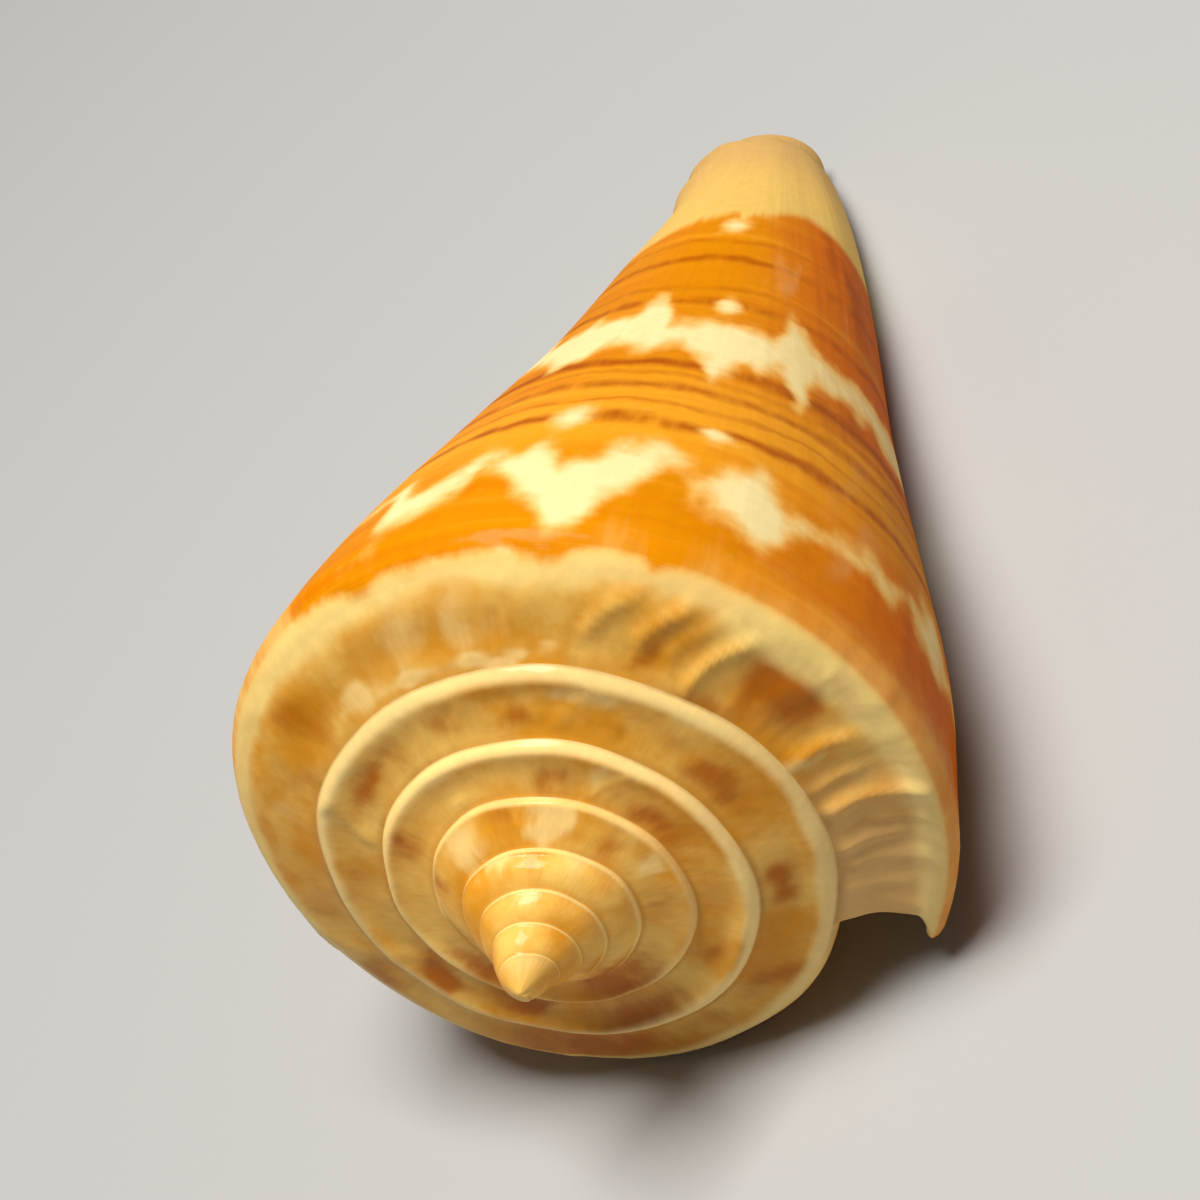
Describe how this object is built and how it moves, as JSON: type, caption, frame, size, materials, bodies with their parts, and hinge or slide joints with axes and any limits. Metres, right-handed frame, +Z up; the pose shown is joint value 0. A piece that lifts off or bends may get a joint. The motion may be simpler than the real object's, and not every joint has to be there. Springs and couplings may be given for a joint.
{
  "type": "cone shell",
  "caption": "Cone-shaped sea shell with a low stepped spire, a pointed apex, rounded shoulders and a long narrow aperture, lying on its lip.",
  "frame": {"origin": "middle of the resting shell's bounding box, on the surface that it lies on", "axes": "+Z up, -Y towards the apex of the spire, +Y towards the narrow front end, +X towards the outer lip"},
  "size_m": [0.0282, 0.0586, 0.0258],
  "materials": {
    "shell": "soft natural gloss on orange and cream"
  },
  "bodies": {
    "root": {"shell": "shell"}
  },
  "joints": []
}
